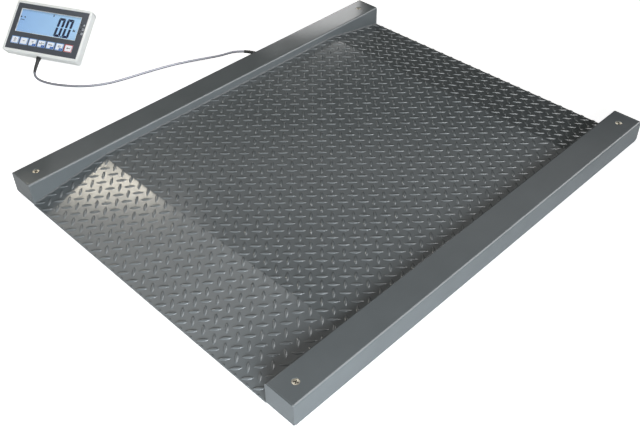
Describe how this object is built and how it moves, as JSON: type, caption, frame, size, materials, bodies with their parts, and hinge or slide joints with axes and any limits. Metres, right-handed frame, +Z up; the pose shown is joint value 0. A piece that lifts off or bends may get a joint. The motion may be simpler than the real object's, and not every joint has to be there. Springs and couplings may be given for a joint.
{
  "type": "drive-through floor scale",
  "caption": "Low drive-through floor scale: a tread-plate bridge with ramps at both ends and side rails, on load cells with levelling feet, with a tilted display terminal on a cable.",
  "frame": {"origin": "on the floor, midway between the four foot pads", "axes": "+X along the driving direction, +Y towards the rail that the terminal's cable leaves, +Z up"},
  "size_m": [1.2, 1.5856, 0.1434],
  "materials": {
    "painted_steel": "satin grey enamel over steel",
    "plated_steel": "zinc-plated steel",
    "nickel_plate": "bright nickel plating",
    "cell_alloy": "machined aluminium alloy",
    "foot_rubber": "moulded black rubber",
    "grey_abs": "moulded grey ABS",
    "black_nylon": "moulded black polyamide",
    "circuit_board": "green solder resist",
    "cable_jacket": "braided shield under a clear jacket",
    "white_abs": "moulded off-white ABS, fine texture",
    "silicone": "grey silicone",
    "panel_film": "dark grey printed polyester on sheet",
    "clear_acrylic": "clear acrylic",
    "lcd_glass": "backlit liquid crystal display",
    "key_white": "white keys with printed borders",
    "battery_black": "shrink-wrapped battery"
  },
  "bodies": {
    "platform": {"access_plugs": "nickel_plate", "battery_pack": "battery_black", "cable_boot": "foot_rubber", "cable_clips": "black_nylon", "cell_bolts": "plated_steel", "cell_spacers": "plated_steel", "cross_members": "painted_steel", "deck_plate": "painted_steel", "display_module": "lcd_glass", "display_window": "clear_acrylic", "end_cap_1": "painted_steel", "end_cap_2": "painted_steel", "end_cap_3": "painted_steel", "end_cap_4": "painted_steel", "housing_screws": "plated_steel", "inside_cables": "cable_jacket", "junction_board": "circuit_board", "junction_box_base": "grey_abs", "junction_box_glands": "black_nylon", "junction_box_lid": "grey_abs", "keypad_board": "circuit_board", "left_rail": "painted_steel", "load_cell_1": "cell_alloy", "load_cell_2": "cell_alloy", "load_cell_3": "cell_alloy", "load_cell_4": "cell_alloy", "main_board": "circuit_board", "plug_seats": "painted_steel", "rail_gland": "black_nylon", "ramp_ribs": "painted_steel", "right_rail": "painted_steel", "stand_hinge_pin": "plated_steel", "terminal_cable": "cable_jacket", "terminal_front_shell": "white_abs", "terminal_gasket": "silicone", "terminal_gland": "black_nylon", "terminal_panel": "panel_film", "terminal_rear_shell": "white_abs", "terminal_rests": "foot_rubber"},
    "foot_pad_1": {"foot_pad_1": "foot_rubber"},
    "foot_spindle_1": {"foot_spindle_1": "plated_steel"},
    "foot_pad_2": {"foot_pad_2": "foot_rubber"},
    "foot_spindle_2": {"foot_spindle_2": "plated_steel"},
    "foot_pad_3": {"foot_pad_3": "foot_rubber"},
    "foot_spindle_3": {"foot_spindle_3": "plated_steel"},
    "foot_pad_4": {"foot_pad_4": "foot_rubber"},
    "foot_spindle_4": {"foot_spindle_4": "plated_steel"},
    "key_1": {"key_1": "key_white"},
    "key_2": {"key_2": "key_white"},
    "key_3": {"key_3": "key_white"},
    "key_4": {"key_4": "key_white"},
    "key_5": {"key_5": "key_white"},
    "key_6": {"key_6": "key_white"},
    "key_7": {"key_7": "key_white"},
    "stand_leg": {"stand_leg": "white_abs"}
  },
  "joints": [
    {"name": "foot_height_1", "type": "slide", "parent": "platform", "child": "foot_pad_1", "axis": [0, 0, -1], "range_m": [-0.003, 0.008]},
    {"name": "foot_spin_1", "type": "hinge", "parent": "foot_pad_1", "child": "foot_spindle_1", "pos_m": [0.558, 0.442, 0.009], "axis": [0, 0, -1], "range_deg": [-620, 1650]},
    {"name": "foot_height_2", "type": "slide", "parent": "platform", "child": "foot_pad_2", "axis": [0, 0, -1], "range_m": [-0.003, 0.008]},
    {"name": "foot_spin_2", "type": "hinge", "parent": "foot_pad_2", "child": "foot_spindle_2", "pos_m": [-0.558, 0.442, 0.009], "axis": [0, 0, -1], "range_deg": [-620, 1650]},
    {"name": "foot_height_3", "type": "slide", "parent": "platform", "child": "foot_pad_3", "axis": [0, 0, -1], "range_m": [-0.003, 0.008]},
    {"name": "foot_spin_3", "type": "hinge", "parent": "foot_pad_3", "child": "foot_spindle_3", "pos_m": [-0.558, -0.442, 0.009], "axis": [0, 0, -1], "range_deg": [-620, 1650]},
    {"name": "foot_height_4", "type": "slide", "parent": "platform", "child": "foot_pad_4", "axis": [0, 0, -1], "range_m": [-0.003, 0.008]},
    {"name": "foot_spin_4", "type": "hinge", "parent": "foot_pad_4", "child": "foot_spindle_4", "pos_m": [0.558, -0.442, 0.009], "axis": [0, 0, -1], "range_deg": [-620, 1650]},
    {"name": "key_press_1", "type": "slide", "parent": "platform", "child": "key_1", "axis": [0.5442, 0.2666, -0.7955], "range_m": [0, 0.0005], "stiffness_N_per_m": 3000, "springref_m": -0.0002},
    {"name": "key_press_2", "type": "slide", "parent": "platform", "child": "key_2", "axis": [0.5442, 0.2666, -0.7955], "range_m": [0, 0.0005], "stiffness_N_per_m": 3000, "springref_m": -0.0002},
    {"name": "key_press_3", "type": "slide", "parent": "platform", "child": "key_3", "axis": [0.5442, 0.2666, -0.7955], "range_m": [0, 0.0005], "stiffness_N_per_m": 3000, "springref_m": -0.0002},
    {"name": "key_press_4", "type": "slide", "parent": "platform", "child": "key_4", "axis": [0.5442, 0.2666, -0.7955], "range_m": [0, 0.0005], "stiffness_N_per_m": 3000, "springref_m": -0.0002},
    {"name": "key_press_5", "type": "slide", "parent": "platform", "child": "key_5", "axis": [0.5442, 0.2666, -0.7955], "range_m": [0, 0.0005], "stiffness_N_per_m": 3000, "springref_m": -0.0002},
    {"name": "key_press_6", "type": "slide", "parent": "platform", "child": "key_6", "axis": [0.5442, 0.2666, -0.7955], "range_m": [0, 0.0005], "stiffness_N_per_m": 3000, "springref_m": -0.0002},
    {"name": "key_press_7", "type": "slide", "parent": "platform", "child": "key_7", "axis": [0.5442, 0.2666, -0.7955], "range_m": [0, 0.0005], "stiffness_N_per_m": 3000, "springref_m": -0.0002},
    {"name": "stand_fold", "type": "hinge", "parent": "platform", "child": "stand_leg", "pos_m": [-0.14164, 0.99146, 0.06801], "axis": [-0.4399, 0.898, 0], "range_deg": [0, 52.5]}
  ],
  "couplings": [
    {"joint": "foot_spin_1", "follows": "foot_height_1", "rad_per_m": 3590.4},
    {"joint": "foot_spin_2", "follows": "foot_height_2", "rad_per_m": 3590.4},
    {"joint": "foot_spin_3", "follows": "foot_height_3", "rad_per_m": 3590.4},
    {"joint": "foot_spin_4", "follows": "foot_height_4", "rad_per_m": 3590.4}
  ]
}
